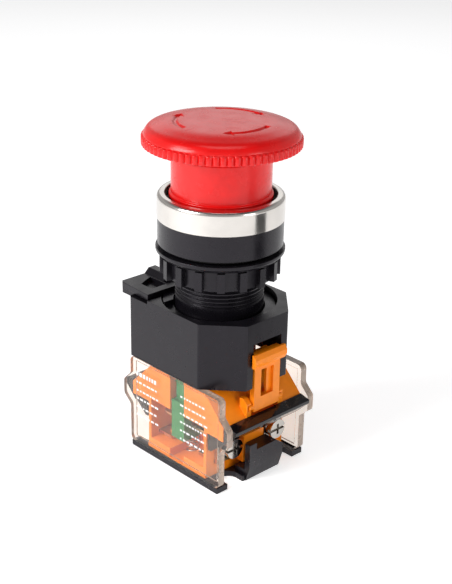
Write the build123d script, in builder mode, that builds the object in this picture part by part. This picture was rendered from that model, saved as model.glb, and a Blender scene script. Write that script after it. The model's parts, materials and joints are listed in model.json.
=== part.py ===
from build123d import *
from math import atan2, cos, pi, radians, sin
import os

# Panel-mounted emergency stop push button: a twist-to-release mushroom head, its panel nut,
# an adapter with a lock lever, and a contact block behind two clear cover plates.
#
# Origin: centre of the base plate's underside. +Z runs along the button's axis to the cap,
# +X points at one pair of terminals, -Y and +Y at the two cover plates. Millimetres.
# Lengths along X and Y hang from the block's half sizes, heights from the base plate upwards
# through the button's travel, and the radii of the head from the barrel and the stem.

# ---------------------------------------------------------------- fits
running = 0.05         # radial clearance of a shaft in its bore
free = 0.3             # gap between pieces that move past each other
seat = 0.1             # gap between fixed pieces that stand side by side
spring_end = 0.02      # gap at each end of a small spring
travel = 4.5           # how far the button goes in

# ---------------------------------------------------------------- block outline
block_half_x = 16.9    # contact housing, half its length
block_half_y = 15.1    # over the two cover plates, half the width
base_t = 1.5           # base plate thickness
plate_t = 2.0          # clear cover plates
housing_half_y = block_half_y - plate_t - seat

# ---------------------------------------------------------------- contacts
strip_t = 0.8          # fixed contact strips
strip_w = 5.4
bridge_t = 0.6
bridge_w = 5.0
bridge_corner_r = 1.2
tip_r = 1.2            # silver contact tips
tip_t = 0.5
contact_gap = 0.15     # between tips that rest closed
spring_wire = 0.2      # wire radius of the small springs
contact_spring_r = 1.3
contact_spring_room = 4.0
carrier_spring_r = 1.5
carrier_spring_room = 1.6      # left for the carrier's spring when the button is in
carrier_wall = 0.9
carrier_step_x = 0.4   # the carrier is slimmer above the contact window by this on each side
carrier_step_y = 1.2
carrier_edge = 0.4     # chamfer round its head
channel_half_x = 2.6   # carrier channel
channel_skin = 0.4     # under the channel
web_half = 2.0         # half the wall between the two contact chambers

channel_floor = base_t + channel_skin
carrier_low = channel_floor + travel + carrier_spring_room
bridge_z = carrier_low + 3.4
strip_z = {"no": bridge_z - tip_t - travel - free - tip_t - strip_t,
           "nc": bridge_z + bridge_t + tip_t + contact_gap + tip_t}
window_z = (strip_z["no"] - 0.6, strip_z["nc"] + strip_t + 1.55)
chamber_y = (web_half + housing_half_y) / 2
chamber_w = housing_half_y - web_half

# ---------------------------------------------------------------- terminals
screw_head_r = 2.6
screw_head_t = 2.0
screw_r = 1.5
screw_slot_w = 0.7
screw_slot_depth = 1.0
screw_cross = 1.1      # length of the short arm of the cross slot, in head radii
clamp_half = 2.9
clamp_t = 0.8
clamp_corner_r = 0.5
bay_depth = 6.0        # from the housing's end to the back wall of a terminal bay
bay_top = strip_z["nc"] + strip_t + 0.55
screw_z = bay_top - 5.4
bay_x = block_half_x - bay_depth
window_half_x = bay_x - 1.0
bridge_half_x = window_half_x - 1.2
tip_x = bridge_half_x - 1.6
strip_in_x = tip_x - 2.0
pillar_half_y = 3.5    # pillar between two terminal bays
pillar_x = block_half_x - 3.5

# ---------------------------------------------------------------- shoulders and covers
shoulder_rise = 3.6    # from the bays' ceiling to the foot of the sloped shoulders
shoulder_h = 7.8       # height of the shoulders, sloped at 45 degrees
shoulder_z = bay_top + shoulder_rise
block_top = shoulder_z + shoulder_h
shoulder_x = block_half_x - shoulder_h
plate_half_x = block_half_x - free
plate_ear = 2.7        # how far the ears stand out past the plate's ends
plate_ear_z = (bay_top - 2.6, bay_top - 0.4, shoulder_z + 0.2, shoulder_z + 2.8)
plate_border = 1.3     # frame round the thinned panel of each plate
plate_relief = 0.35    # depth of the thinned panel, on the inner face
plate_corner_r = 1.4

shield_edge_x = block_half_x + 3.2     # terminal shields
shield_top_z = shoulder_z + 0.4
shield_nose_z = (shoulder_z - 1.2, shoulder_z - 0.3)
shield_low = (block_half_x - 0.8, bay_top - 1.6)
shield_in_x = block_half_x - 1.6
shield_cheek_t = 1.1
shield_cheek_drop = 3.0
shield_cheek_foot = 1.1
shield_cheek_in = 0.6

# ---------------------------------------------------------------- base plate
base_half_x = block_half_x - 0.7
lobe_w = 3.6           # width of each corner lobe of the base plate
hook_x = block_half_x + 0.7            # outer face of the snap hook on each end
cutout_x = hook_x - 6.3                # how far in the wire cut-outs reach
hook_t = 1.7
hook_root = 3.8        # the hook's foot, inwards from the plate's end
hook_root_h = 2 * base_t
hook_lean = 1.2        # the hook's face leans in by this at the bottom
hook_half_y = 6.3
hook_short_y = 5.4     # the hook ends here on its ear's side
hook_block = (4.1, -2.6, 4.6)          # thick middle: depth, and its two ends along Y
hook_crease_z = 4.1
hook_ear_w = 2.4
hook_ear_h = 1.8
hook_ear_top = shield_low[1] - 2.5
hook_top = hook_ear_top - hook_ear_h
hook_cut = 2.3         # chamfer at the hook's low corner
hook_cut_h = 1.725

# ---------------------------------------------------------------- release latches
latch_half_w = 4.35
latch_t = 1.5
latch_out_x = block_half_x + 0.5
latch_slot_half = 2.1
latch_head_half = 5.35
latch_head_out = 1.3   # how far the T-shaped head stands out
latch_head_lip = 0.6   # ledge under the head
latch_head_low = 1.2   # height of the slope under the head
latch_head_high = 1.1  # height of the slope on top of the head
latch_rib = (0.7, 1.6)         # thin rib down one side of the latch's slot
latch_catch = (1.5, 4.4, 1.6)  # catch that hooks over the adapter's bar
trunnion_r = 0.75
trunnion_skin = 0.5    # wall of the lug past the trunnion's blind bore
trunnion_end = 0.2     # the trunnion stops short of the bore's end
lug_t = 1.6
lug_foot = 1.6         # the lug reaches in from the latch by this
lug_tip = 0.4
latch_low = shoulder_z + 1.3
latch_pivot_z = shoulder_z + 2.5
lug_top = shoulder_z + 4.9

# ---------------------------------------------------------------- adapter
foot_t = 2.0           # plunger's foot, in the adapter's cavity
foot_rise = 0.2        # between the carriers' heads and the foot
carrier_rise = travel + 2 * free       # how far the carriers stand out of the block
cavity_room = 3.3      # above the plunger's foot
carrier_top = block_top + carrier_rise
foot_low = carrier_top + foot_rise
cavity_top = foot_low + foot_t + cavity_room
adapter_roof = 3.5     # from the cavity to the recess for the lock lever's ring
recess_depth = 3.0
recess_floor = cavity_top + adapter_roof
adapter_top = recess_floor + recess_depth
adapter_half_x = block_half_x + 0.2
adapter_half_y = block_half_y - 0.2
adapter_chamfer = (8.5, 8.0)    # the two cut corners, along X and along Y
adapter_edge_r = 0.9   # upright edges
adapter_wall = 1.8
recess_r = adapter_half_y - 0.5
step_x = -10.0         # the top is lower beyond this line, under the lock lever
step_drop = 0.9
slot_half_y = latch_half_w + free + 0.1
slot_top = cavity_top + 1.1
latch_top = cavity_top - 1.6
latch_head_z = latch_top - 3.3
latch_slot_z = (lug_top, latch_head_z - 1.3)
catch_z = (latch_top - 3.9, latch_top - 2.3)
catch_t = 1.5
catch_end = 1.4        # the bar's ends sit in the wall beside the slot

# ---------------------------------------------------------------- barrel, nut and washer
thread_r = 11.0        # M22 barrel
thread_pitch = 1.0
thread_depth = 0.45
barrel_wall = 1.3
neck_h = 15.3          # from the adapter's top to the head's underside
barrel_low = cavity_top + 0.5
barrel_bore_r = thread_r - barrel_wall
ledge_z = (adapter_top + 1.0, adapter_top + 3.0)
head_low = adapter_top + neck_h
gasket_t = 0.8
gasket_r = thread_r + 3.0
thread_z = (adapter_top + 1.2, head_low - 1.1)
washer_t = 1.8
washer_edge = 0.8
washer_r = thread_r + 4.8
washer_z = (thread_z[1] - washer_t, thread_z[1])
nut_h = 4.8
nut_r = thread_r + 2.4
nut_rib_r = thread_r + 3.8
nut_rib_w = 1.8
nut_rib_root = 0.6     # how deep the ribs start inside the nut
nut_ribs = 17
nut_z = (washer_z[0] - free - nut_h, washer_z[0] - free)

# ---------------------------------------------------------------- lock lever
ring_r = (thread_r + 0.35, recess_r - 0.4)
ring_t = 1.2
ring_z = (recess_floor + free, recess_floor + free + ring_t)
lever_t = 1.6
lever_low = adapter_top - step_drop + free
lever_z = (lever_low, lever_low + lever_t)
lever_out_x = -adapter_half_x - 5.3
lever_in_x = -thread_r
lever_y = (1.6 - adapter_half_y, -1.0)
lever_skew = 0.6       # the arm's edge slants by this
lever_corner = 0.8
lever_lip_h = 3.3      # the lever's outer end hangs down by this
lever_lip_gap = 0.4    # from the adapter's end to the lip
lever_lip_clear = 0.63
lever_grip_y = -5.6
lever_grip_h = 1.3
lever_grip_len = 7.6
lever_grip_slope = 1.6
lever_window = ((lever_out_x + 1.6, lever_in_x - 2.4), (lever_y[0] + 2.8, lever_grip_y - free))
lever_window_r = 0.4
lever_riser_x = 8.0

# ---------------------------------------------------------------- stem and head
shaft_r = 6.0
hub_r = shaft_r + 2.0
stem_wall = 2.2
stem_gap = 1.9         # between the cap's hub and the stem
stem_bore_r = hub_r + stem_gap
stem_r = stem_bore_r + stem_wall
stem_ring_r = stem_r + 0.45
stem_spigot_r = stem_r - 1.0
stem_well_r = stem_r + 1.0
spigot_r = stem_well_r + 1.5           # screwed spigot under the bezel
spigot_h = 2.95
head_r = spigot_r + 0.73
head_h = 6.35
head_z = (head_low, head_low + head_h)
stem_well_floor = head_low + 2.0
bezel_r = head_r + 0.17
bezel_bore_r = stem_ring_r + 0.95
bezel_h = 5.95
bezel_top = head_z[1] + bezel_h
bezel_edge_r = 1.2
bezel_bore_edge_r = 0.3
stem_ring_z = (bezel_top - 1.0, bezel_top + 0.3)
latch_pin_r = 0.8
latch_pin_z = head_z[1] - 1.45
latch_pin_in = stem_r + 0.4

# ---------------------------------------------------------------- plunger, springs and cam
flange_r = barrel_bore_r - 0.4
flange_z = (head_low + 1.6, head_low + 2.9)
foot_half_x = 2.4
foot_half_y = adapter_half_y - adapter_wall - 0.9
key_w = 2.0
key_r = shaft_r + 1.1
key_z = (ledge_z[0] - 5.0, ledge_z[1] + travel)
return_spring_r = shaft_r + 1.9
return_wire = 0.45
twist_spring_r = shaft_r + 0.95
twist_wire = 0.35
cam_r = (hub_r, flange_r)
cam_flange_r = stem_r - 0.2
cam_flange_t = 1.1
cam_stop = 0.5         # between the cam's flange and the well's floor with the button in
cam_notches = 3
cam_notch = (4.0, 2.6, 1.8)
cam_top = stem_well_floor + travel + cam_stop + cam_flange_t
cam_z = (flange_z[1] + free, cam_top)
stem_low = cam_top + seat

# ---------------------------------------------------------------- mushroom cap
cap_rim_r = 18.7
cap_rim_h = 2.3
cap_rib_r = cap_rim_r + 0.4
cap_ribs = 72
cap_dome_r = cap_rim_r - 3.6          # the crowned top rolls over here
cap_crown = 0.75       # fall of the top from its centre to that line
cap_arrow_fall = 0.15  # fall of the top at the ring of arrows
cap_roll = 1.6         # from the roll-over line to the steep flank
cap_roll_fall = 1.15
cap_shoulder_r = cap_rim_r - 0.1
cap_wall = 2.0
cap_skirt_t = 1.4
cap_skirt_in = 0.3     # the dome's underside starts this far below the rim's top
cap_rise = 7.2         # left between the bezel and the cap with the button in
cap_h = 5.7
cap_low = bezel_top + travel + cap_rise
cap_top = cap_low + cap_h
cap_deck = cap_top - cap_wall
rim_top = cap_low + cap_rim_h
collar_r = stem_r + 0.35
collar_h = 2.1
collar_low = cap_low - collar_h
deck_r = collar_r + 1.15       # flat part of the cap's underside
hub_low = cap_low - 6.3
shaft_top = cap_deck - 1.4
arrow_count = 3
arrow_tail = 25.0      # degrees from +X, turning clockwise seen from above
arrow_neck = -31.8
arrow_tip = -42.5
arrow_r = cap_dome_r - 4.0
arrow_w = 1.0
arrow_head_w = 2.6
arrow_depth = 0.5

os.makedirs("parts", exist_ok=True)


def finish(piece, name):
    """Label one finished piece and write it."""
    piece.part.label = name
    export_step(piece.part, f"parts/{name}.step")


def polar(radius, angle):
    """A point at this radius and this angle in degrees."""
    return (radius * cos(radians(angle)), radius * sin(radians(angle)))


def revolved(points):
    """A round piece from its half section, given as (radius, z) points."""
    with BuildPart() as piece:
        with BuildSketch(Plane.XZ):
            with BuildLine():
                Polyline(*points, close=True)
            make_face()
        revolve(axis=Axis.Z)
    return piece


def coil_spring(radius, wire, turns, low, high, centre=(0, 0)):
    """A compression spring of round wire, standing from low to high."""
    rise = high - low - 2 * wire
    with BuildPart() as spring:
        with BuildLine() as coil:
            Helix(pitch=rise / turns, height=rise, radius=radius,
                  center=(centre[0], centre[1], low + wire))
        with BuildSketch(coil.line ^ 0):
            Circle(wire)
        sweep(is_frenet=True)
    return spring


# ================================================================ base plate
cutout_r = (block_half_y - lobe_w - hook_half_y) / 2
cutout_y = hook_half_y + cutout_r
cutout_len = hook_x - cutout_x

with BuildPart() as base_plate:
    with BuildSketch():
        Rectangle(2 * base_half_x, 2 * block_half_y)
        with Locations(*[(sx * (cutout_x + cutout_len), sy * cutout_y)
                         for sx in (-1, 1) for sy in (-1, 1)]):
            SlotOverall(2 * cutout_len, 2 * cutout_r, mode=Mode.SUBTRACT)
    extrude(amount=base_t)
    # one snap hook at each end, the second turned half round, with a thick middle and one ear
    for side in (1, -1):
        root_x = side * (base_half_x - hook_root)
        for depth, near_y, far_y in ((hook_t, -hook_short_y, hook_half_y), hook_block):
            inner_x = side * (hook_x - depth)
            with BuildSketch(Plane.XZ.offset(-side * far_y)):
                with BuildLine():
                    Polyline((root_x, 0), (side * (hook_x - hook_lean), 0), (side * hook_x, hook_crease_z),
                             (side * hook_x, hook_top), (inner_x, hook_top), (inner_x, hook_root_h),
                             (root_x, hook_root_h), close=True)
                make_face()
            extrude(amount=side * (far_y - near_y))
        ear_y = side * (hook_ear_w / 2 - hook_short_y)
        with Locations((side * (hook_x - hook_t / 2), ear_y, hook_top)):
            Box(hook_t, hook_ear_w, hook_ear_h, align=(Align.CENTER, Align.CENTER, Align.MIN))
        with BuildSketch(Plane.YZ):
            with BuildLine():
                Polyline((side * (hook_half_y + 1), hook_top + 1),
                         (side * (hook_half_y - hook_cut), hook_top + 1),
                         (side * (hook_half_y - hook_cut), hook_top),
                         (side * hook_half_y, hook_top - hook_cut_h),
                         (side * (hook_half_y + 1), hook_top - hook_cut_h), close=True)
            make_face()
        extrude(amount=side * (hook_x + 1), mode=Mode.SUBTRACT)
finish(base_plate, "base_plate")

# ================================================================ contact housing
sides = {"no": -1, "nc": 1}

with BuildPart() as contact_housing:
    with BuildSketch(Plane.XZ):
        with BuildLine():
            Polyline((-bay_x, base_t), (bay_x, base_t), (bay_x, bay_top), (block_half_x, bay_top),
                     (block_half_x, shoulder_z), (shoulder_x, block_top), (-shoulder_x, block_top),
                     (-block_half_x, shoulder_z), (-block_half_x, bay_top), (-bay_x, bay_top),
                     close=True)
        make_face()
    extrude(amount=housing_half_y, both=True)
    # pillars between the terminal bays, clear of the base plate's hooks
    pillar_low = hook_root_h + seat
    with Locations((0, 0, pillar_low)):
        Box(2 * pillar_x, 2 * pillar_half_y, bay_top - pillar_low,
            align=(Align.CENTER, Align.CENTER, Align.MIN))
    # two contact chambers, open to the cover plates
    for name, side in sides.items():
        with Locations((0, side * (chamber_y + seat), channel_floor)):
            Box(2 * channel_half_x, chamber_w + 2 * seat, block_top - channel_floor,
                align=(Align.CENTER, Align.CENTER, Align.MIN), mode=Mode.SUBTRACT)
        with Locations((0, side * (chamber_y + seat), window_z[0])):
            Box(2 * window_half_x, chamber_w + 2 * seat, window_z[1] - window_z[0],
                align=(Align.CENTER, Align.CENTER, Align.MIN), mode=Mode.SUBTRACT)
        # slots that let the contact strips out into the terminal bays
        with Locations((0, side * chamber_y, strip_z[name] + strip_t / 2)):
            Box(2 * bay_x + 2, strip_w + 2 * seat, strip_t + 2 * seat, mode=Mode.SUBTRACT)
    # lugs that carry the release latches
    for side in (-1, 1):
        with BuildSketch(Plane.XZ):
            with BuildLine():
                Polyline((side * (latch_out_x - latch_t - lug_foot), shoulder_z),
                         (side * block_half_x, shoulder_z - 0.5),
                         (side * block_half_x, latch_pivot_z + 1.2),
                         (side * (latch_out_x - latch_t - lug_tip), lug_top),
                         (side * (latch_out_x - latch_t - lug_foot), lug_top), close=True)
            make_face()
        extrude(amount=latch_half_w + free + lug_t, both=True)
        with Locations((side * latch_out_x, 0, shoulder_z - 0.6)):
            Box(2 * (latch_t + free) + 2, 2 * (latch_half_w + free), lug_top - shoulder_z + 1.6,
                align=(Align.CENTER, Align.CENTER, Align.MIN), mode=Mode.SUBTRACT)
        with BuildSketch(Plane.XZ):
            with Locations((side * (latch_out_x - latch_t / 2), latch_pivot_z)):
                Circle(trunnion_r + running)
        extrude(amount=latch_half_w + free + lug_t - trunnion_skin, both=True, mode=Mode.SUBTRACT)
finish(contact_housing, "contact_housing")

# ================================================================ cover plates
ear_x = plate_half_x + plate_ear
z_a, z_b, z_c, z_d = plate_ear_z
right = [(plate_half_x, base_t), (plate_half_x, z_a), (ear_x, z_b), (ear_x, z_c),
         (plate_half_x, z_d), (plate_half_x, block_top)]
left = [(-x, z) for x, z in reversed(right)]
for name, side in (("cover_plate_front", -1), ("cover_plate_rear", 1)):
    inner_y = side * (block_half_y - plate_t)
    with BuildPart() as plate:
        with BuildSketch(Plane.XZ.offset(-inner_y)) as outline:
            with BuildLine():
                Polyline(*right, *left, close=True)
            make_face()
            fillet(outline.vertices().group_by(Axis.Z)[0], plate_corner_r)
        extrude(amount=-side * plate_t)
        with Locations((0, inner_y + side * plate_relief / 2, (base_t + block_top) / 2)):
            Box(2 * (plate_half_x - plate_border), plate_relief, block_top - base_t - 2 * plate_border,
                mode=Mode.SUBTRACT)
    finish(plate, name)

# ================================================================ contacts, one set in each chamber
for name, side in sides.items():
    y = side * chamber_y
    low = strip_z[name]
    towards = 1 if name == "no" else -1       # the way the fixed tips face
    # window in the carrier: it holds the bridge and its spring
    if name == "no":
        window = (bridge_z - seat, bridge_z + bridge_t + contact_spring_room)
        spring_ends = (bridge_z + bridge_t + spring_end, window[1] - spring_end)
    else:
        window = (carrier_low + carrier_wall, bridge_z + bridge_t + seat)
        spring_ends = (window[0] + spring_end, bridge_z - spring_end)
    with BuildPart() as carrier:
        with Locations((0, y, carrier_low)):
            Box(2 * (channel_half_x - free), chamber_w - 2 * free, window_z[1] + 3 - carrier_low,
                align=(Align.CENTER, Align.CENTER, Align.MIN))
        with Locations((0, y, carrier_low)):
            Box(2 * (channel_half_x - free - carrier_step_x), chamber_w - 2 * (free + carrier_step_y),
                carrier_top - carrier_low,
                align=(Align.CENTER, Align.CENTER, Align.MIN))
        with Locations((0, y, window[0])):
            Box(2 * channel_half_x, bridge_w + 2 * seat, window[1] - window[0],
                align=(Align.CENTER, Align.CENTER, Align.MIN), mode=Mode.SUBTRACT)
        chamfer(carrier.faces().sort_by(Axis.Z)[-1].edges(), carrier_edge)
    finish(carrier, f"contact_carrier_{name}")

    with BuildPart() as bridge:
        with BuildSketch(Plane.XY.offset(bridge_z)):
            with Locations((0, y)):
                RectangleRounded(2 * bridge_half_x, bridge_w, bridge_corner_r)
        extrude(amount=bridge_t)
        with BuildSketch(Plane.XY.offset(bridge_z if name == "no" else bridge_z + bridge_t)):
            with Locations((-tip_x, y), (tip_x, y)):
                Circle(tip_r)
        extrude(amount=-towards * tip_t)
    finish(bridge, f"contact_bridge_{name}")

    # two strips in the housing, each with a tip inside and a leg under its terminal screw
    with BuildPart() as strips:
        for end in (-1, 1):
            leg_x = bay_x + seat
            leg_low = min(low, screw_z - clamp_half)
            leg_high = max(low + strip_t, screw_z + clamp_half)
            reach = Align.MIN if end > 0 else Align.MAX
            with Locations((end * strip_in_x, y, low)):
                Box(leg_x + strip_t - strip_in_x, strip_w, strip_t, align=(reach, Align.CENTER, Align.MIN))
            with Locations((end * leg_x, y, leg_low)):
                Box(strip_t, strip_w, leg_high - leg_low, align=(reach, Align.CENTER, Align.MIN))
            with BuildSketch(Plane.YZ.offset(end * leg_x)):
                with Locations((y, screw_z)):
                    Circle(screw_r + running)
            extrude(amount=end * strip_t, mode=Mode.SUBTRACT)
            with BuildSketch(Plane.XY.offset(low + strip_t if name == "no" else low)):
                with Locations((end * tip_x, y)):
                    Circle(tip_r)
            extrude(amount=towards * tip_t)
    finish(strips, f"fixed_contacts_{name}")

    finish(coil_spring(contact_spring_r, spring_wire, 3, *spring_ends, (0, y)),
           f"contact_spring_{name}")
    finish(coil_spring(carrier_spring_r, spring_wire, 4, channel_floor + spring_end,
                       carrier_low - spring_end, (0, y)), f"carrier_spring_{name}")

# ================================================================ terminals
clamp_x = bay_x + seat + strip_t
head_x = clamp_x + clamp_t
corners = [(end, side * chamber_y) for end in (-1, 1) for side in (-1, 1)]

with BuildPart() as wire_clamps:
    for end, y in corners:
        with BuildSketch(Plane.YZ.offset(end * (clamp_x + spring_end))):
            with Locations((y, screw_z)):
                RectangleRounded(2 * clamp_half, 2 * clamp_half, clamp_corner_r)
                Circle(screw_r + running, mode=Mode.SUBTRACT)
        extrude(amount=end * (clamp_t - 2 * spring_end))
finish(wire_clamps, "wire_clamps")

with BuildPart() as terminal_screws:
    for end, y in corners:
        with BuildSketch(Plane.YZ.offset(end * head_x)):
            with Locations((y, screw_z)):
                Circle(screw_head_r)
        extrude(amount=end * screw_head_t)
        with BuildSketch(Plane.YZ.offset(end * (bay_x + 2 * running))):
            with Locations((y, screw_z)):
                Circle(screw_r)
        extrude(amount=end * (head_x - bay_x))
        for arms in ((2 * screw_head_r + 1, screw_slot_w), (screw_slot_w, screw_cross * screw_head_r)):
            with BuildSketch(Plane.YZ.offset(end * (head_x + screw_head_t))):
                with Locations((y, screw_z)):
                    Rectangle(*arms)
            extrude(amount=-end * screw_slot_depth, mode=Mode.SUBTRACT)
finish(terminal_screws, "terminal_screws")

for name, end in (("terminal_shield_right", 1), ("terminal_shield_left", -1)):
    inner_x = block_half_x + seat
    ceiling = bay_top - seat
    bar = [(inner_x, shield_top_z), (shield_edge_x, shield_nose_z[1]), (shield_edge_x, shield_nose_z[0]),
           shield_low, (shield_in_x, shield_low[1] + shield_low[0] - shield_in_x),
           (shield_in_x, ceiling), (inner_x, ceiling)]
    cheek_x = bay_x + seat + free
    cheek_low = shield_low[1] - shield_cheek_drop
    cheek = [(inner_x, ceiling + 1), (shield_edge_x - shield_cheek_in, shield_nose_z[0] - shield_cheek_in),
             (cheek_x + shield_cheek_foot, cheek_low), (cheek_x, cheek_low), (cheek_x, ceiling),
             (inner_x, ceiling)]
    half_y = housing_half_y - seat
    with BuildPart() as shield:
        with BuildSketch(Plane.XZ):
            with BuildLine():
                Polyline(*[(end * x, z) for x, z in bar], close=True)
            make_face()
        extrude(amount=half_y, both=True)
        for side in (-1, 1):
            with BuildSketch(Plane.XZ.offset(-side * half_y)):
                with BuildLine():
                    Polyline(*[(end * x, z) for x, z in cheek], close=True)
                make_face()
            extrude(amount=side * shield_cheek_t)
    finish(shield, name)

# ================================================================ release latches
pivot_x = latch_out_x - latch_t / 2
for name, end in (("release_latch_right", 1), ("release_latch_left", -1)):
    inner = latch_out_x - latch_t
    root = latch_out_x - 0.02
    head_x = latch_out_x + latch_head_out
    head_top = latch_top + 0.2
    reach, width, height = latch_catch
    with BuildPart() as latch:
        with BuildSketch(Plane.YZ.offset(end * inner)):
            with Locations((0, (latch_low + latch_top) / 2)):
                Rectangle(2 * latch_half_w, latch_top - latch_low)
            with Locations((0, sum(latch_slot_z) / 2)):
                Rectangle(2 * latch_slot_half, latch_slot_z[1] - latch_slot_z[0], mode=Mode.SUBTRACT)
        extrude(amount=end * latch_t)
        # thin rib down one side of the slot
        rib_y = end * (latch_slot_half - latch_rib[1] / 2)
        with Locations((end * (inner + latch_rib[0] / 2), rib_y, sum(latch_slot_z) / 2)):
            Box(*latch_rib, latch_slot_z[1] - latch_slot_z[0] + 0.4)
        # T-shaped head, wider than the arm
        with BuildSketch(Plane.XZ):
            with BuildLine():
                Polyline((end * root, latch_head_z), (end * (latch_out_x + latch_head_lip), latch_head_z),
                         (end * head_x, latch_head_z + latch_head_low),
                         (end * head_x, head_top - latch_head_high),
                         (end * (latch_out_x + latch_head_lip), head_top), (end * root, head_top),
                         close=True)
            make_face()
        extrude(amount=latch_head_half, both=True)
        # catch that hooks over the adapter's inner bar
        with Locations((end * (inner - reach / 2 + seat), 0, catch_z[1] + free + height / 2)):
            Box(reach, width, height)
        with BuildSketch(Plane.XZ):
            with Locations((end * pivot_x, latch_pivot_z)):
                Circle(trunnion_r)
        extrude(amount=latch_half_w + free + lug_t - trunnion_skin - trunnion_end, both=True)
    finish(latch, name)

# ================================================================ adapter
x_a, x_b = -adapter_half_x, adapter_half_x
c_x, c_y = adapter_chamfer
outline = [(x_a, -adapter_half_y), (x_b - c_x, -adapter_half_y), (x_b, -adapter_half_y + c_y),
           (x_b, adapter_half_y - c_y), (x_b - c_x, adapter_half_y), (x_a, adapter_half_y)]

with BuildPart() as adapter_body:
    with BuildSketch(Plane.XY.offset(block_top)) as footprint:
        with BuildLine():
            Polyline(*outline, close=True)
        make_face()
        fillet(footprint.vertices(), adapter_edge_r)
    extrude(amount=adapter_top - block_top)
    with BuildSketch(Plane.XY.offset(block_top)) as hollow:
        with BuildLine():
            Polyline(*outline, close=True)
        make_face()
        offset(amount=-adapter_wall, kind=Kind.INTERSECTION)
    extrude(amount=cavity_top - block_top, mode=Mode.SUBTRACT)
    with BuildSketch(Plane.XY.offset(recess_floor)):
        Circle(recess_r)
    extrude(amount=adapter_top - recess_floor, mode=Mode.SUBTRACT)
    with BuildSketch(Plane.XY.offset(cavity_top)):
        Circle(thread_r + 2 * running)
    extrude(amount=adapter_top - cavity_top, mode=Mode.SUBTRACT)
    with Locations((step_x, 0, adapter_top - step_drop)):
        Box(20, 2 * adapter_half_y + 1, step_drop + 1,
            align=(Align.MAX, Align.CENTER, Align.MIN), mode=Mode.SUBTRACT)
    # slots for the two latches, with a bar inside that they catch on
    with Locations((0, 0, block_top)):
        Box(2 * (latch_out_x + 1), 2 * slot_half_y, slot_top - block_top,
            align=(Align.CENTER, Align.CENTER, Align.MIN), mode=Mode.SUBTRACT)
    bar_x = latch_out_x - latch_t - free
    for end in (-1, 1):
        with Locations((end * bar_x, 0, catch_z[0])):
            Box(catch_t, 2 * (slot_half_y + catch_end), catch_z[1] - catch_z[0],
                align=(Align.MAX if end > 0 else Align.MIN, Align.CENTER, Align.MIN))
finish(adapter_body, "adapter_body")

# ================================================================ lock lever
with BuildPart() as lock_lever:
    with BuildSketch(Plane.XY.offset(ring_z[0])):
        Circle(ring_r[1])
        Circle(ring_r[0], mode=Mode.SUBTRACT)
    extrude(amount=ring_z[1] - ring_z[0])
    # arm over the lowered top, joined to the ring by a riser
    with BuildSketch(Plane.XY.offset(lever_z[0])) as arm:
        with BuildLine():
            Polyline((lever_out_x, lever_y[0] + lever_skew), (lever_out_x + lever_corner, lever_y[0]),
                     (lever_in_x, lever_y[0] - lever_skew), (lever_in_x, lever_y[1]),
                     (lever_out_x, lever_y[1]), close=True)
        make_face()
        Circle(ring_r[0], mode=Mode.SUBTRACT)
        with Locations(((lever_window[0][0] + lever_window[0][1]) / 2,
                        (lever_window[1][0] + lever_window[1][1]) / 2)):
            RectangleRounded(lever_window[0][1] - lever_window[0][0],
                             lever_window[1][1] - lever_window[1][0], lever_window_r, mode=Mode.SUBTRACT)
    extrude(amount=lever_z[1] - lever_z[0])
    with BuildSketch(Plane.XY.offset(ring_z[1] - 0.5)) as riser:
        Circle(ring_r[1])
        Circle(ring_r[0], mode=Mode.SUBTRACT)
        with Locations((lever_in_x, lever_y[1])):
            Rectangle(lever_riser_x, lever_y[1] - lever_y[0], align=(Align.CENTER, Align.MAX),
                      mode=Mode.INTERSECT)
    extrude(amount=lever_z[0] - ring_z[1] + lever_t / 2 + seat)
    # lip that hangs outside the adapter
    lip_y = lever_y[0] + lever_skew
    corner_angle = atan2(lip_y, lever_out_x)
    with BuildSketch(Plane.XY.offset(lever_z[1] - lever_lip_h)):
        with Locations((lever_out_x, lip_y)):
            Rectangle(x_a - lever_lip_gap - lever_out_x, lever_grip_y - lip_y, align=(Align.MIN, Align.MIN))
        Circle(x_a / cos(corner_angle) + lever_lip_clear, mode=Mode.SUBTRACT)
    extrude(amount=lever_lip_h)
    # raised grip
    grip_top = lever_z[1] + lever_grip_h
    with BuildSketch(Plane.YZ.offset(lever_out_x)):
        with BuildLine():
            Polyline((lever_grip_y, lever_z[1] - 0.2), (lever_grip_y + lever_grip_slope, grip_top),
                     (lever_y[1] - lever_corner, grip_top), (lever_y[1], lever_z[1] + 0.3),
                     (lever_y[1], lever_z[1] - 0.2), close=True)
        make_face()
    extrude(amount=lever_grip_len)
finish(lock_lever, "lock_lever")

# ================================================================ operator head
head_blank = revolved([
    (head_r, head_z[0]), (head_r, head_z[1]), (spigot_r, head_z[1]), (spigot_r, head_z[1] + spigot_h),
    (stem_well_r, head_z[1] + spigot_h), (stem_well_r, stem_well_floor), (barrel_bore_r, stem_well_floor),
    (barrel_bore_r, ledge_z[1]), (shaft_r + running, ledge_z[1]), (shaft_r + running, ledge_z[0]),
    (barrel_bore_r, ledge_z[0]), (barrel_bore_r, barrel_low), (thread_r, barrel_low),
    (thread_r, head_z[0])])
with BuildPart() as head_housing:
    add(head_blank.part)
    # thread grooves
    with BuildSketch(Plane.XZ):
        for turn in range(int((thread_z[1] - thread_z[0]) / thread_pitch)):
            z = thread_z[0] + (turn + 0.5) * thread_pitch
            with BuildLine():
                Polyline((thread_r + 0.1, z - 0.45 * thread_pitch), (thread_r - thread_depth, z),
                         (thread_r + 0.1, z + 0.45 * thread_pitch), close=True)
            make_face()
    revolve(axis=Axis.Z, mode=Mode.SUBTRACT)
    # keyways through the ledge
    with Locations((0, 0, sum(ledge_z) / 2)):
        Box(2 * (key_r + free), key_w + 2 * free, ledge_z[1] - ledge_z[0] + 0.2, mode=Mode.SUBTRACT)
    # seats of the two latch pins
    with BuildSketch(Plane.YZ):
        with Locations((0, latch_pin_z)):
            Circle(latch_pin_r + running)
    extrude(amount=spigot_r, both=True, mode=Mode.SUBTRACT)
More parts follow.
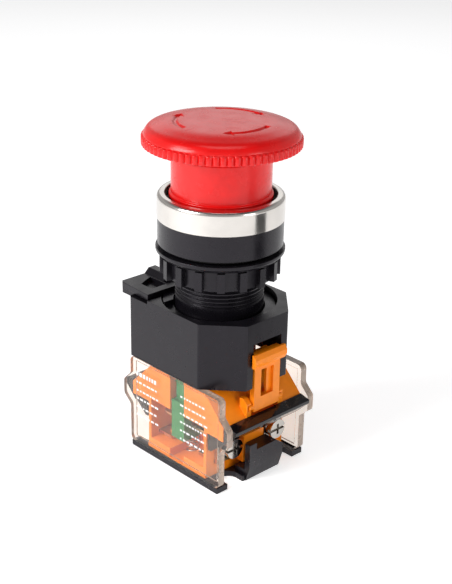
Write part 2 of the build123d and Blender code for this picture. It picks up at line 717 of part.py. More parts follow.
finish(head_housing, "head_housing")

with BuildPart() as latch_pins:
    for end in (-1, 1):
        with BuildSketch(Plane.YZ.offset(end * latch_pin_in)):
            with Locations((0, latch_pin_z)):
                Circle(latch_pin_r)
        extrude(amount=end * (spigot_r - latch_pin_in - seat))
finish(latch_pins, "latch_pins")

bezel_blank = revolved([
    (bezel_r, head_z[1]), (bezel_r, bezel_top), (bezel_bore_r, bezel_top),
    (bezel_bore_r, head_z[1] + spigot_h + seat), (spigot_r + seat, head_z[1] + spigot_h + seat),
    (spigot_r + seat, head_z[1])])
with BuildPart() as bezel_ring:
    add(bezel_blank.part)
    rim = bezel_ring.faces().sort_by(Axis.Z)[-1].edges().sort_by(SortBy.RADIUS)
    fillet(rim[-1], bezel_edge_r)
    fillet(bezel_ring.faces().sort_by(Axis.Z)[-1].edges().sort_by(SortBy.RADIUS)[0], bezel_bore_edge_r)
finish(bezel_ring, "bezel_ring")

finish(revolved([(thread_r + running, head_z[0] - gasket_t), (gasket_r, head_z[0] - gasket_t),
                 (gasket_r, head_z[0]), (thread_r + running, head_z[0])]), "seal_gasket")

finish(revolved([(thread_r + free, washer_z[0]), (nut_rib_r, washer_z[0]),
                 (washer_r, washer_z[1] - washer_edge), (washer_r, washer_z[1]),
                 (thread_r + free, washer_z[1])]), "panel_washer")

with BuildPart() as lock_nut:
    with BuildSketch(Plane.XY.offset(nut_z[0])):
        Circle(nut_r)
        with PolarLocations((nut_r + nut_rib_r - nut_rib_root) / 2, nut_ribs):
            Rectangle(nut_rib_r - nut_r + nut_rib_root, nut_rib_w)
        Circle(thread_r + running, mode=Mode.SUBTRACT)
    extrude(amount=nut_z[1] - nut_z[0])
finish(lock_nut, "lock_nut")

# ================================================================ plunger and its springs
plunger_blank = revolved([
    (0, foot_low), (shaft_r, foot_low), (shaft_r, flange_z[0]), (flange_r, flange_z[0]),
    (flange_r, flange_z[1]), (shaft_r, flange_z[1]), (shaft_r, shaft_top), (0, shaft_top)])
with BuildPart() as plunger:
    add(plunger_blank.part)
    with Locations((0, 0, foot_low)):
        Box(2 * foot_half_x, 2 * foot_half_y, foot_t, align=(Align.CENTER, Align.CENTER, Align.MIN))
    with Locations((0, 0, key_z[0])):
        Box(2 * key_r, key_w, key_z[1] - key_z[0], align=(Align.CENTER, Align.CENTER, Align.MIN))
finish(plunger, "plunger")

finish(coil_spring(return_spring_r, return_wire, 6, ledge_z[1] + 0.03, flange_z[0] - 0.03), "return_spring")
finish(coil_spring(twist_spring_r, twist_wire, 9, flange_z[1] + 0.1, hub_low - 0.1), "twist_spring")

# ================================================================ stem, cam and mushroom cap
finish(revolved([(stem_bore_r, stem_low), (stem_r, stem_low), (stem_r, stem_ring_z[0]),
                 (stem_ring_r, stem_ring_z[0] + 0.2), (stem_ring_r, stem_ring_z[1] - 0.2),
                 (stem_r, stem_ring_z[1]), (stem_r, collar_low - 0.02), (stem_spigot_r, collar_low - 0.02),
                 (stem_spigot_r, cap_deck - 0.5), (stem_bore_r, cap_deck - 0.5)]), "button_stem")

cam_blank = revolved([
    (cam_r[0], cam_z[0]), (cam_r[1], cam_z[0]), (cam_r[1], cam_z[1] - cam_flange_t),
    (cam_flange_r, cam_z[1] - cam_flange_t), (cam_flange_r, cam_z[1]), (cam_r[0], cam_z[1])])
with BuildPart() as cam_sleeve:
    add(cam_blank.part)
    with BuildSketch(Plane.XY.offset(cam_z[0])):
        with PolarLocations(cam_r[1], cam_notches):
            Rectangle(*cam_notch[:2])
    extrude(amount=cam_notch[2], mode=Mode.SUBTRACT)
finish(cam_sleeve, "cam_sleeve")

with BuildSketch() as arrow:
    half = arrow_w / 2
    with BuildLine():
        CenterArc((0, 0), arrow_r + half, arrow_tail, arrow_neck - arrow_tail)
        Polyline(polar(arrow_r + half, arrow_neck), polar(arrow_r + arrow_head_w / 2, arrow_neck),
                 polar(arrow_r, arrow_tip), polar(arrow_r - arrow_head_w / 2, arrow_neck),
                 polar(arrow_r - half, arrow_neck))
        CenterArc((0, 0), arrow_r - half, arrow_neck, arrow_tail - arrow_neck)
        Line(polar(arrow_r - half, arrow_tail), polar(arrow_r + half, arrow_tail))
    make_face()

with BuildPart() as mushroom_cap:
    with BuildSketch(Plane.XZ):
        with BuildLine():
            Spline((0, cap_top), (arrow_r, cap_top - cap_arrow_fall), (cap_dome_r, cap_top - cap_crown),
                   (cap_dome_r + cap_roll, cap_top - cap_roll_fall), (cap_shoulder_r, rim_top),
                   tangents=((1, 0), (0, -1)))
            Polyline((cap_shoulder_r, rim_top), (cap_rim_r, rim_top), (cap_rim_r, cap_low),
                     (cap_rim_r - cap_skirt_t, cap_low), (cap_rim_r - cap_skirt_t, rim_top - cap_skirt_in),
                     (deck_r, cap_deck), (collar_r, cap_deck), (collar_r, collar_low),
                     (stem_spigot_r + seat, collar_low), (stem_spigot_r + seat, cap_deck),
                     (hub_r, cap_deck), (hub_r, hub_low), (shaft_r + running, hub_low),
                     (shaft_r + running, cap_deck), (0, cap_deck), (0, cap_top))
        make_face()
    revolve(axis=Axis.Z)
    with BuildSketch(Plane.XY.offset(cap_low)):
        with PolarLocations(cap_rim_r - 0.1, cap_ribs):
            Circle(cap_rib_r - cap_rim_r + 0.1)
        Circle(cap_rim_r - 0.5, mode=Mode.SUBTRACT)
    extrude(amount=cap_rim_h)
    with BuildSketch(Plane.XY.offset(cap_top)):
        with PolarLocations(0, arrow_count):
            add(arrow.sketch)
    extrude(amount=-arrow_depth - cap_arrow_fall, mode=Mode.SUBTRACT)
finish(mushroom_cap, "mushroom_cap")
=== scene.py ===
import json
import random
from math import atan2, cos, degrees, pi, radians, sin, sqrt

import bmesh
import bpy
from mathutils import Matrix, Vector


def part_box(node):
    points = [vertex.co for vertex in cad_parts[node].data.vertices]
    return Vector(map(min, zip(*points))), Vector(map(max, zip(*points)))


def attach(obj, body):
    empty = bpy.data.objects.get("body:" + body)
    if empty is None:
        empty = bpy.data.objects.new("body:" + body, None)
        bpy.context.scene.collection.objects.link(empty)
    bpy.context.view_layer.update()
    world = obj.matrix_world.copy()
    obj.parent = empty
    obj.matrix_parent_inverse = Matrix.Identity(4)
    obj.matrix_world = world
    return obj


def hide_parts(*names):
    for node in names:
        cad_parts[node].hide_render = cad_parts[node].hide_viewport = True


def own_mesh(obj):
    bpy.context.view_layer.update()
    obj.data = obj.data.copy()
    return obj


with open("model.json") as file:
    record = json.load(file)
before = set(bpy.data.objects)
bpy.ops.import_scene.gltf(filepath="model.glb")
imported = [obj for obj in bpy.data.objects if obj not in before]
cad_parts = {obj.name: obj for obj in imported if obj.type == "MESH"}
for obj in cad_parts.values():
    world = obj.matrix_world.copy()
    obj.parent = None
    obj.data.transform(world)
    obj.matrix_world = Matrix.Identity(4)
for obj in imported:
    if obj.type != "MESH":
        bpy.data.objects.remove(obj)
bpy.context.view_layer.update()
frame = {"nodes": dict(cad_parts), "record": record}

# The visual model of the emergency stop button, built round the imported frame. Metres;
# lengths named below are in millimetres and go through MM.
MM = 0.001
NODES = frame["nodes"]


def span(node):
    """Lowest and highest corner of a frame node, in millimetres."""
    low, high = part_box(node)
    return Vector(low) / MM, Vector(high) / MM


# ---------------------------------------------------------------- camera and stage
CAMERA_REACH = 269.2       # horizontal distance from the button's axis
CAMERA_AZIMUTH = 46.35     # degrees from -Y towards +X
CAMERA_HEIGHT = 159.85
CAMERA_YAW = -0.345        # degrees, as are pitch and roll
CAMERA_PITCH = 23.20
CAMERA_ROLL = 1.19
CAMERA_LENS = 73.04
CAMERA_NEAR = 10.0

FLOOR_HALF = 3000.0
FLOOR_DROP = 0.02          # the floor lies this far under the button
FLOOR_GLOW = 0.58
CARD_REACH = (85, 260)     # from the button's axis to the dark card's near and far edge
CARD_AZIMUTH = (108, 130)  # degrees from -Y towards +X
WORLD_STRENGTH = 0.50
WORLD_LOW = (0.45, (0.95, 0.94, 0.93, 1))     # place on the ramp and colour: round the horizon
WORLD_HIGH = (0.80, (0.15, 0.155, 0.17, 1))   # and overhead
# name, place, target, size, power: left of the camera, right of it, behind the button, above it
LIGHTS = (("key", (-120, -460, 300), (0, 0, 45), (240, 260), 2.1),
          ("fill", (520, 60, 160), (0, 0, 35), (180, 260), 0.45),
          ("back", (-420, 420, 300), (0, 0, 60), (460, 220), 0.22),
          ("above", (60, -40, 620), (0, 0, 0), (300, 300), 0.5))


def make_camera():
    """The camera at the reference viewing angle."""
    az, pitch, roll = radians(CAMERA_AZIMUTH), radians(CAMERA_PITCH), radians(CAMERA_ROLL)
    place = Vector((CAMERA_REACH * sin(az), -CAMERA_REACH * cos(az), CAMERA_HEIGHT)) * MM
    ahead = Matrix.Rotation(radians(CAMERA_YAW), 3, "Z") @ Vector((-sin(az), cos(az), 0))
    ahead = ahead * cos(pitch) - Vector((0, 0, sin(pitch)))
    right = ahead.cross(Vector((0, 0, 1))).normalized()
    up = right.cross(ahead)
    right, up = right * cos(roll) + up * sin(roll), up * cos(roll) - right * sin(roll)
    data = bpy.data.cameras.new("camera")
    data.lens = CAMERA_LENS
    data.clip_start = CAMERA_NEAR * MM
    camera = bpy.data.objects.new("camera", data)
    turn = Matrix((right, up, -ahead)).transposed().to_4x4()
    camera.matrix_world = Matrix.Translation(place) @ turn
    bpy.context.scene.collection.objects.link(camera)
    bpy.context.scene.camera = camera


def area_light(name, place, target, size, power):
    """A soft rectangular light at one place, aimed at another; both in millimetres."""
    data = bpy.data.lights.new(name, "AREA")
    data.shape = "RECTANGLE"
    data.size, data.size_y = size[0] * MM, size[1] * MM
    data.energy = power
    light = bpy.data.objects.new(name, data)
    aim = (Vector(target) - Vector(place)).to_track_quat("-Z", "Y")
    light.matrix_world = Matrix.Translation(Vector(place) * MM) @ aim.to_matrix().to_4x4()
    bpy.context.scene.collection.objects.link(light)


def stage_sheet(name, corners, finish):
    """A flat four-cornered sheet for the stage, linked straight to the scene and on no body; corners in
    millimetres.
    """
    mesh = bpy.data.meshes.new(name)
    mesh.from_pydata([Vector(corner) * MM for corner in corners], [], [(0, 1, 2, 3)])
    mesh.materials.append(finish)
    sheet = bpy.data.objects.new(name, mesh)
    bpy.context.scene.collection.objects.link(sheet)
    return sheet


def make_floor():
    """The pale floor, faintly lit from within so that it stays white at a distance."""
    half = FLOOR_HALF
    finish = material("floor_white", (0.95, 0.95, 0.95), 0.9, specular=0.1, glow=FLOOR_GLOW)
    corners = ((-half, -half, 0), (half, -half, 0), (half, half, 0), (-half, half, 0))
    stage_sheet("floor", corners, finish).location.z = -FLOOR_DROP * MM


def make_card():
    """A card on the floor, out of the picture: polished metal shows it as one dark band."""
    (near, far), (start, end) = CARD_REACH, CARD_AZIMUTH
    corners = []
    for reach, azimuth in ((near, start), (far, start), (far, end), (near, end)):
        corners.append((reach * sin(radians(azimuth)), -reach * cos(radians(azimuth)), 0))
    card = stage_sheet("card", corners, material("card_black", (0.05, 0.05, 0.055), 0.9, specular=0.1))
    card.visible_camera = card.visible_diffuse = card.visible_shadow = card.visible_transmission = False


def make_world():
    """Soft light from all round, dimmer overhead."""
    world = bpy.data.worlds.new("studio")
    world.use_nodes = True
    nodes, links = world.node_tree.nodes, world.node_tree.links
    back = nodes["Background"]
    back.inputs["Strength"].default_value = WORLD_STRENGTH
    coords = nodes.new("ShaderNodeTexCoord")
    split = nodes.new("ShaderNodeSeparateXYZ")
    ramp = nodes.new("ShaderNodeValToRGB")
    for element, (place, colour) in zip(ramp.color_ramp.elements, (WORLD_LOW, WORLD_HIGH)):
        element.position = place
        element.color = colour
    links.new(coords.outputs["Generated"], split.inputs[0])
    links.new(split.outputs["Z"], ramp.inputs["Fac"])
    links.new(ramp.outputs["Color"], back.inputs["Color"])
    bpy.context.scene.world = world
    bpy.context.scene.view_settings.view_transform = "Standard"


def make_stage():
    """A pale floor, a soft world and the studio lights."""
    make_floor()
    make_world()
    for light in LIGHTS:
        area_light(*light)
    make_card()


# ---------------------------------------------------------------- materials
SUBSURFACE_DEPTH = 0.8
GRAIN_DEPTH = 0.02
NOISE_RANGE = (0.3, 0.7)   # the part of a noise texture's range that is used


def material(name, colour, roughness, metallic=0.0, specular=0.5, transmission=0.0, ior=1.5,
             subsurface=0.0, mottle=0.0, mottle_scale=400, gloss_mottle=0.0, grain=0.0,
             grain_scale=4000, stretch=1.0, glow=0.0, tint=(1, 1, 1)):
    """A moulded or metal finish. mottle varies the colour, gloss_mottle the roughness, grain is a
    fine bump and stretch flattens the grain into lines round the axis."""
    made = bpy.data.materials.new(name)
    made.use_nodes = True
    nodes, links = made.node_tree.nodes, made.node_tree.links
    shader = nodes["Principled BSDF"]
    settings = {"Base Color": (*colour, 1), "Roughness": roughness, "Metallic": metallic,
                "Specular IOR Level": specular, "Specular Tint": (*tint, 1),
                "Transmission Weight": transmission, "IOR": ior, "Subsurface Weight": subsurface,
                "Subsurface Scale": SUBSURFACE_DEPTH * MM,
                "Emission Color": (1, 1, 1, 1), "Emission Strength": glow}
    for socket, value in settings.items():
        shader.inputs[socket].default_value = value
    coords = nodes.new("ShaderNodeTexCoord")

    def noise(scale, detail, source):
        field = nodes.new("ShaderNodeTexNoise")
        field.inputs["Scale"].default_value = scale
        field.inputs["Detail"].default_value = detail
        links.new(source, field.inputs["Vector"])
        return field.outputs["Fac"]

    def ranged(source, low, high):
        mapped = nodes.new("ShaderNodeMapRange")
        mapped.inputs["From Min"].default_value = NOISE_RANGE[0]
        mapped.inputs["From Max"].default_value = NOISE_RANGE[1]
        mapped.inputs["To Min"].default_value = low
        mapped.inputs["To Max"].default_value = high
        links.new(source, mapped.inputs["Value"])
        return mapped.outputs["Result"]

    def mixed(factor, a, b):
        mix = nodes.new("ShaderNodeMix")
        mix.data_type = "RGBA"
        mix.inputs["A"].default_value = (*a, 1)
        mix.inputs["B"].default_value = (*b, 1)
        links.new(factor, mix.inputs["Factor"])
        return mix.outputs["Result"]

    if mottle:
        low = tuple(c * (1 - mottle) for c in colour)
        high = tuple(min(1, c * (1 + mottle)) for c in colour)
        share = ranged(noise(mottle_scale, 3, coords.outputs["Object"]), 0, 1)
        links.new(mixed(share, low, high), shader.inputs["Base Color"])
    if gloss_mottle:
        field = noise(mottle_scale * 0.6, 4, coords.outputs["Object"])
        uneven = ranged(field, roughness - gloss_mottle, roughness + gloss_mottle)
        links.new(uneven, shader.inputs["Roughness"])
    if grain:
        bump = nodes.new("ShaderNodeBump")
        bump.inputs["Strength"].default_value = grain
        bump.inputs["Distance"].default_value = GRAIN_DEPTH * MM
        squeeze = nodes.new("ShaderNodeMapping")
        squeeze.inputs["Scale"].default_value = (1, 1, stretch)
        links.new(coords.outputs["Object"], squeeze.inputs["Vector"])
        links.new(noise(grain_scale, 2, squeeze.outputs["Vector"]), bump.inputs["Height"])
        links.new(bump.outputs["Normal"], shader.inputs["Normal"])
    return made


def make_finishes():
    """Every finish, by the record's material slot, and the extra ones of single pieces."""
    return {
        "red_plastic": material("red_gloss", (0.76, 0.005, 0.005), 0.25, specular=0.42,
                                mottle=0.05, gloss_mottle=0.05, grain=0.05, subsurface=0.03),
        # painted shade: a darker red for the floors of the cap's sunk arrows
        "arrow_red": material("red_sunk_painted_shade", (0.42, 0.006, 0.007), 0.38, mottle=0.06, gloss_mottle=0.05),
        "bezel_chrome": material("chrome", (0.66, 0.63, 0.595), 0.19, metallic=1.0, gloss_mottle=0.05,
                                 mottle=0.05, mottle_scale=180, grain=0.05, grain_scale=500, stretch=10),
        "black_plastic": material("black_satin", (0.0062, 0.0054, 0.0076), 0.30, specular=0.32,
                                  mottle=0.12, mottle_scale=500, gloss_mottle=0.05, grain=0.10,
                                  grain_scale=5000, tint=(0.97, 0.92, 1.0)),
        "black_turned": material("black_ringed", (0.0062, 0.0054, 0.0076), 0.27, specular=0.34,
                                 mottle=0.12, mottle_scale=500, gloss_mottle=0.05, grain=0.45,
                                 grain_scale=160, stretch=22, tint=(0.97, 0.92, 1.0)),
        "shield_black": material("black_gloss", (0.005, 0.0045, 0.006), 0.15, specular=0.5,
                                 mottle=0.1, gloss_mottle=0.05, grain=0.10, grain_scale=1800),
        "orange_plastic": material("orange_moulded", (0.97, 0.255, 0.004), 0.34, specular=0.4,
                                   mottle=0.05, gloss_mottle=0.05, grain=0.08, subsurface=0.03),
        "clear_plastic": material("clear_cover", (0.92, 0.835, 0.76), 0.03, transmission=1.0,
                                  ior=1.49, gloss_mottle=0.02, mottle=0.02, grain=0.02, grain_scale=900),
        "clear_edge": material("clear_cover_edge", (0.62, 0.49, 0.40), 0.28, transmission=0.40,
                               ior=1.49, gloss_mottle=0.06, mottle=0.08, grain=0.06, grain_scale=1200),
        "print_white": material("print_white", (0.86, 0.86, 0.86), 0.5, mottle=0.06, mottle_scale=3000),
        "gasket_rubber": material("rubber", (0.014, 0.013, 0.014), 0.7, specular=0.3, mottle=0.15,
                                  grain=0.3),
        "screw_steel": material("nickel", (0.50, 0.475, 0.44), 0.13, metallic=1.0, gloss_mottle=0.06,
                                mottle=0.06, grain=0.12, grain_scale=900),
        "contact_brass": material("brass", (0.72, 0.50, 0.23), 0.27, metallic=1.0, mottle=0.12,
                                  gloss_mottle=0.08, grain=0.12, grain_scale=700),
        "spring_steel": material("spring_wire", (0.58, 0.58, 0.58), 0.24, metallic=1.0, mottle=0.08,
                                 gloss_mottle=0.05),
        "carrier_green": material("green_moulded", (0.012, 0.22, 0.065), 0.38, mottle=0.06, grain=0.08),
        "carrier_red": material("red_moulded", (0.45, 0.012, 0.010), 0.38, mottle=0.06, grain=0.08),
        "plunger_white": material("acetal", (0.68, 0.66, 0.60), 0.42, subsurface=0.1, mottle=0.04,
                                  grain=0.08),
    }


# ---------------------------------------------------------------- pieces from the frame
SLOT_OF = {row["node"]: row["material_slot"] for row in frame["record"]["subparts"]}
BODY_OF = {}
for body, members in frame["record"]["behaviour"]["bodies"].items():
    for member in members:
        BODY_OF[member] = body
WELD = 0.002               # points nearer than this become one
FLAT_ANGLE = 0.6           # degrees; faces this nearly level become one
EASE_ANGLE = 30            # degrees; edges sharper than this are eased
EASE_SEGMENTS = 3
# the nodes with eased corners, and the corners' radius
EASED = {"adapter_body": 0.35, "contact_housing": 0.18, "base_plate": 0.18, "lock_lever": 0.30,
         "lock_nut": 0.25, "panel_washer": 0.15, "release_latch_right": 0.25, "release_latch_left": 0.25,
         "terminal_shield_right": 0.22, "terminal_shield_left": 0.22, "cover_plate_front": 0.20,
         "cover_plate_rear": 0.20, "terminal_screws": 0.22, "wire_clamps": 0.10,
         "head_housing": 0.12, "bezel_ring": 0.12, "button_stem": 0.15}


def stand_for(piece, node):
    """A new piece takes over from a frame node: its body, its slot and its finish."""
    bpy.context.scene.collection.objects.link(piece)
    piece.data.materials.clear()
    piece.data.materials.append(FINISH[SLOT_OF[node]])
    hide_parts(node)
    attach(piece, BODY_OF[node])
    return piece


def smooth_under(shape, limit):
    """Rounds the shading except across edges sharper than the limit, in degrees."""
    for face in shape.faces:
        face.smooth = True
    for edge in shape.edges:
        faces = edge.link_faces
        edge.smooth = len(faces) == 2 and faces[0].normal.angle(faces[1].normal, 0) < radians(limit)


def mesh_of(shape, name):
    """Turns a bmesh into a mesh and lets go of it."""
    mesh = bpy.data.meshes.new(name)
    shape.to_mesh(mesh)
    shape.free()
    return mesh


def free_piece(name, mesh, finish, body):
    """A piece of its own that stands for no frame node."""
    mesh.materials.append(FINISH[finish])
    piece = bpy.data.objects.new(name, mesh)
    bpy.context.scene.collection.objects.link(piece)
    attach(piece, body)
    return piece


def softened(node, radius):
    """The node's own shape with its corners eased by a small radius, in millimetres."""
    shape = bmesh.new()
    shape.from_mesh(NODES[node].data)
    bmesh.ops.remove_doubles(shape, verts=shape.verts, dist=WELD * MM)
    bmesh.ops.dissolve_limit(shape, angle_limit=radians(FLAT_ANGLE), verts=shape.verts, edges=shape.edges)
    smooth_under(shape, 180)
    piece = stand_for(bpy.data.objects.new(f"soft_{node}", mesh_of(shape, f"soft_{node}")), node)
    bevel = piece.modifiers.new("ease", "BEVEL")
    bevel.width = radius * MM
    bevel.segments = EASE_SEGMENTS
    bevel.limit_method = "ANGLE"
    bevel.angle_limit = radians(EASE_ANGLE)
    bevel.use_clamp_overlap = True
    bevel.miter_outer = "MITER_ARC"
    # flat faces keep level shading right up to their eased edges
    weigh = piece.modifiers.new("weigh", "WEIGHTED_NORMAL")
    weigh.mode = "FACE_AREA_WITH_ANGLE"
    weigh.weight = 100
    weigh.keep_sharp = True
    baked = bpy.data.meshes.new_from_object(piece.evaluated_get(bpy.context.evaluated_depsgraph_get()))
    piece.modifiers.clear()
    piece.data = baked
    baked.name = f"soft_{node}"
    baked.materials.clear()
    baked.materials.append(FINISH[SLOT_OF[node]])
    return piece


# ---------------------------------------------------------------- the mushroom cap
CAP_H = 5.7
CAP_RIM_R = 18.7
CAP_RIM_H = 2.3
CAP_SHOULDER_R = CAP_RIM_R - 0.1
CAP_SHOULDER_EDGE = 0.25   # radius where the flank meets the rim's top
CAP_RIBS = 72
CAP_RIB_STEPS = 8          # faces round each rib
CAP_RIB_H = 0.4
CAP_RIB_GROOVE = 0.12      # depth of the grooves between ribs
CAP_RIM_EDGE = 0.45
# drop from the rim's top, and the share of the ribs' height there
CAP_RIB_LINE = ((0.0, 0.35), (0.12, 0.80), (0.30, 1.0),
                (CAP_RIM_H - 0.30, 1.0), (CAP_RIM_H - 0.12, 0.80), (CAP_RIM_H, 0.25))
CAP_WALL = 2.0
CAP_SKIRT_T = 1.4
CAP_SKIRT_IN = 0.3         # the underside starts this far below the rim's top
CAP_DOME_R = 15.1
CAP_CROWN = 0.75
COLLAR_R = 12.45
COLLAR_H = 2.1
COLLAR_EDGE = 0.2
COLLAR_ROOT = 0.15         # the fillet where the collar meets the underside
SPIGOT_R = 11.2            # bore of the collar, round the stem's spigot
HUB_R = 8.0
CAP_BORE_R = 6.1
# the crowned top: radius, and height against the middle
CAP_TOP_LINE = ((0.0, 0.0), (4.0, -0.02), (8.0, -0.07), (11.1, -0.15), (13.2, -0.36),
                (CAP_DOME_R, -CAP_CROWN), (16.7, -1.15), (17.7, -1.72), (18.3, -2.50))
CAP_TOP_STEPS = 9          # faces between two points of the line
CAP_SHARP = 40             # degrees
ARROW_R = 11.1
ARROW_W = 1.0
ARROW_HEAD_W = 2.6
ARROW_DEPTH = 0.42
ARROW_COUNT = 3
ARROW_TAIL = 25.0          # degrees from +X, turning clockwise seen from above
ARROW_NECK = -31.8
ARROW_TIP = -42.5
ARROW_SOFT = 0.22          # width of the sunk arrows' sloped edge
ARROW_SHADE_SHARE = 0.85        # faces sunk by more than this share are darker: painted shade in the sunk arrows


def lathe(shape, profile, around, radius_of, height_of):
    """Quads round Z from a closed (r, z) profile in millimetres; the two callbacks move a point
    by its place on the profile and its angle. Points at r = 0 share one vertex."""
    columns = []
    for step in range(around):
        angle = 2 * pi * step / around
        column = []
        for place, (r, z) in enumerate(profile):
            if r <= 0:
                column.append(columns[0][place] if columns else shape.verts.new((0, 0, z * MM)))
                continue
            r = radius_of(place, r, angle)
            z = height_of(place, r, z, angle)
            column.append(shape.verts.new((r * cos(angle) * MM, r * sin(angle) * MM, z * MM)))
        columns.append(column)
    for step in range(around):
        near, far = columns[step], columns[(step + 1) % around]
        for place in range(len(profile)):
            after = (place + 1) % len(profile)
            corners = [near[place], far[place], far[after], near[after]]
            corners = [vert for k, vert in enumerate(corners) if vert not in corners[:k]]
            if len(corners) > 2:
                shape.faces.new(corners)


def arc_points(centre, radius, start, end, steps):
    """Points on an arc of the profile plane, angles in degrees."""
    line = []
    for step in range(steps + 1):
        angle = radians(start + (end - start) * step / steps)
        line.append((centre[0] + radius * cos(angle), centre[1] + radius * sin(angle)))
    return line


def arrow_depth(r, angle):
    """How deep the ring of arrows is sunk at a point, from 0 to 1."""
    turn = (degrees(angle) - ARROW_TIP) % (360 / ARROW_COUNT) + ARROW_TIP
    off = abs(r - ARROW_R)
    if turn < ARROW_NECK:
        half = ARROW_HEAD_W / 2 * (turn - ARROW_TIP) / (ARROW_NECK - ARROW_TIP)
        inside = half - off
        if half > ARROW_W / 2 and off >= ARROW_W / 2:
            inside = min(inside, radians(ARROW_NECK - turn) * ARROW_R)
    else:
        inside = min(ARROW_W / 2 - off, radians(min(ARROW_TAIL - turn, turn - ARROW_TIP)) * ARROW_R)
    return max(0.0, min(1.0, inside / ARROW_SOFT + 0.5))


def spline_through(points, steps):
    """Catmull-Rom points through a list."""
    ends = [points[0]] + list(points) + [points[-1]]
    line = []
    for k in range(1, len(ends) - 2):
        a, b, c, d = (Vector(p) for p in ends[k - 1:k + 3])
        for step in range(steps):
            t = step / steps
            line.append(0.5 * (2 * b + (c - a) * t + (2 * a - 5 * b + 4 * c - d) * t * t
                               + (3 * b - a - 3 * c + d) * t * t * t))
    line.append(Vector(points[-1]))
    return [(p.x, p.y) for p in line]


def cap_profile(top, hub_low):
    """The cap's closed outline in (r, z), and which of its points carry how much of the ribs."""
    cap_low = top - CAP_H
    collar_low = cap_low - COLLAR_H
    rim_top, deck = cap_low + CAP_RIM_H, top - CAP_WALL
    profile = spline_through([(r, top + rise) for r, rise in CAP_TOP_LINE], CAP_TOP_STEPS)
    edge = CAP_SHOULDER_EDGE
    profile += arc_points((CAP_SHOULDER_R - edge, rim_top + edge), edge, 20, -30, 3)
    ribbed = {}
    for drop, share in CAP_RIB_LINE:
        ribbed[len(profile)] = share
        profile.append((CAP_RIM_R, rim_top - drop))
    inner_r = CAP_RIM_R - CAP_SKIRT_T
    profile += [(CAP_RIM_R - CAP_RIM_EDGE, cap_low), (inner_r, cap_low), (inner_r, rim_top - CAP_SKIRT_IN),
                (CAP_DOME_R, deck - CAP_CROWN), (COLLAR_R + COLLAR_ROOT, deck - COLLAR_EDGE),
                (COLLAR_R, deck - COLLAR_EDGE - COLLAR_ROOT),
                (COLLAR_R, collar_low + COLLAR_EDGE), (COLLAR_R - COLLAR_EDGE, collar_low),
                (SPIGOT_R, collar_low), (SPIGOT_R, deck), (HUB_R, deck), (HUB_R, hub_low),
                (CAP_BORE_R, hub_low), (CAP_BORE_R, deck), (0, deck)]
    return profile, ribbed


def make_cap():
    """Crowned cap with beaded rim, sunk arrows with painted shade on their floors, and a hollow underside.
    """
    low, high = span("mushroom_cap")
    profile, ribbed = cap_profile(high.z, low.z)
    deck = high.z - CAP_WALL

    def radius_of(place, r, angle):
        if place not in ribbed:
            return r
        wave = abs(sin(angle * CAP_RIBS / 2))
        return r + CAP_RIB_H * ribbed[place] * sqrt(wave) - CAP_RIB_GROOVE * (1 - wave)

    def height_of(place, r, z, angle):
        if z <= deck or abs(r - ARROW_R) > ARROW_HEAD_W:
            return z
        return z - ARROW_DEPTH * arrow_depth(r, angle)

    shape = bmesh.new()
    lathe(shape, profile, CAP_RIBS * CAP_RIB_STEPS, radius_of, height_of)
    # faces deep in the sunk arrows take the second, darker red: painted shade
    for face in shape.faces:
        place = face.calc_center_median() / MM
        if place.z > deck and arrow_depth(place.xy.length, atan2(place.y, place.x)) > ARROW_SHADE_SHARE:
            face.material_index = 1
    bmesh.ops.recalc_face_normals(shape, faces=shape.faces)
    smooth_under(shape, CAP_SHARP)
    cap = stand_for(bpy.data.objects.new("cap_crowned", mesh_of(shape, "cap_crowned")), "mushroom_cap")
    # the second finish is the painted shade of the sunk arrows
    cap.data.materials.append(FINISH["arrow_red"])


# ---------------------------------------------------------------- springs
def make_springs():
    """The springs, which shorten as the button goes in, each from its fixed end; here each is a plain copy
    of its node's mesh on that node's body.
    """
    for joint in frame["record"]["behaviour"]["joints"]:
        for row in joint.get("deforming_nodes", []):
            node = row["node"]
            piece = stand_for(bpy.data.objects.new(f"coil_{node}", NODES[node].data.copy()), node)
            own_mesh(piece)


# ---------------------------------------------------------------- lock lever
LEVER_GRIP_H = 1.3         # from the arm's top to the top of its grip
LEVER_T = 1.6
LEVER_FLOOR_T = 0.4
LEVER_FLOOR_LIFT = 0.05    # above the arm's underside
LEVER_FLOOR_EDGE = 0.08
LEVER_FRAME = (1.3, 2.9)   # from the lever's outer end and side to the web
LEVER_FLOOR_IN = (-13.1, -5.3)   # x and y of the web's inner corner


def make_lever_floor():
    """A thin web that closes the bottom of the lock lever's window."""
    low, high = span("lock_lever")
    web_low = high.z - LEVER_GRIP_H - LEVER_T + LEVER_FLOOR_LIFT
    sides = ((low.x + LEVER_FRAME[0], LEVER_FLOOR_IN[0]), (low.y + LEVER_FRAME[1], LEVER_FLOOR_IN[1]),
             (web_low, web_low + LEVER_FLOOR_T))
    shape = bmesh.new()
    for vert in bmesh.ops.create_cube(shape, size=1)["verts"]:
        vert.co = Vector([sides[k][vert.co[k] > 0] * MM for k in range(3)])
    bmesh.ops.bevel(shape, geom=shape.edges[:], offset=LEVER_FLOOR_EDGE * MM, segments=2, affect="EDGES")
    web = free_piece("lever_floor", mesh_of(shape, "lever_floor"), "black_plastic", BODY_OF["lock_lever"])


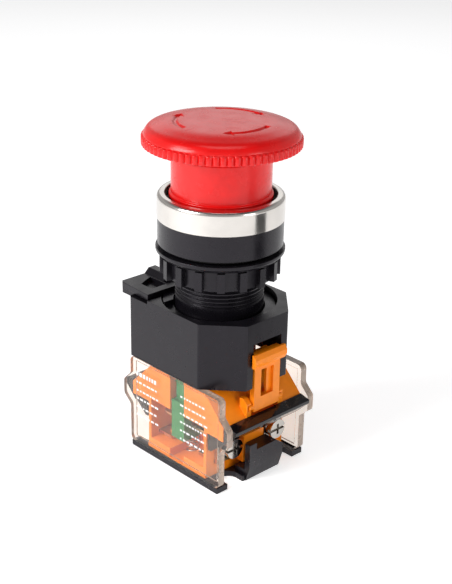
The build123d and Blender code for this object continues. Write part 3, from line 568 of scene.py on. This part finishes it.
# ---------------------------------------------------------------- clear cover plates
DASH_ROWS = 6
DASH_COLUMNS = ((-14.2, -5.2), (2.6, 12.6))   # where each column starts and ends in x
DASH_TOP = 4.2             # from the plate's top to the first row
DASH_PITCH = 2.35
DASH_H = 0.50
DASH_TITLE = 2.2           # the first row of the first column is taller by this
DASH_T = 0.03
DASH_LENGTH = (0.5, 1.3)
DASH_GAP = (0.35, 0.6)
DASH_ROOM = 1.0            # no dash starts nearer than this to the column's end


def tinted_edges(piece):
    """The narrow side faces of a clear plate show the denser tint of its edge."""
    piece.data.materials.append(FINISH["clear_edge"])
    for face in piece.data.polygons:
        if abs(face.normal.y) < 0.5:
            face.material_index = 1


def add_dash(shape, centre, size):
    """One thin box on the plate's face, in millimetres."""
    for vert in bmesh.ops.create_cube(shape, size=1)["verts"]:
        vert.co = Vector([(centre[k] + vert.co[k] * size[k]) * MM for k in range(3)])


def make_print():
    """Rows of small generic dashes on the front plate, where a plate would carry its ratings."""
    low, high = span("cover_plate_front")
    chance = random.Random(7)
    shape = bmesh.new()
    for column, (start, end) in enumerate(DASH_COLUMNS):
        for row in range(DASH_ROWS):
            z = high.z - DASH_TOP - row * DASH_PITCH
            tall = DASH_H * (DASH_TITLE if row == 0 and column == 0 else 1.0)
            x = start
            while x < end - DASH_ROOM:
                length = chance.uniform(*DASH_LENGTH)
                if x + length > end:
                    break
                add_dash(shape, (x + length / 2, low.y - DASH_T / 2, z), (length, DASH_T, tall))
                x += length + chance.uniform(*DASH_GAP)
    free_piece("plate_print", mesh_of(shape, "plate_print"), "print_white", BODY_OF["cover_plate_front"])


# ---------------------------------------------------------------- the whole scene
make_camera()
make_stage()
FINISH = make_finishes()

for name, node in NODES.items():
    node.data.materials.clear()
    node.data.materials.append(FINISH[SLOT_OF[name]])

for name, radius in EASED.items():
    eased = softened(name, radius)
    if name.startswith("cover_plate"):
        tinted_edges(eased)
        eased.visible_shadow = False
    if name == "head_housing":
        eased.data.materials[0] = FINISH["black_turned"]
make_cap()
make_lever_floor()
make_springs()
make_print()

bpy.context.view_layer.update()
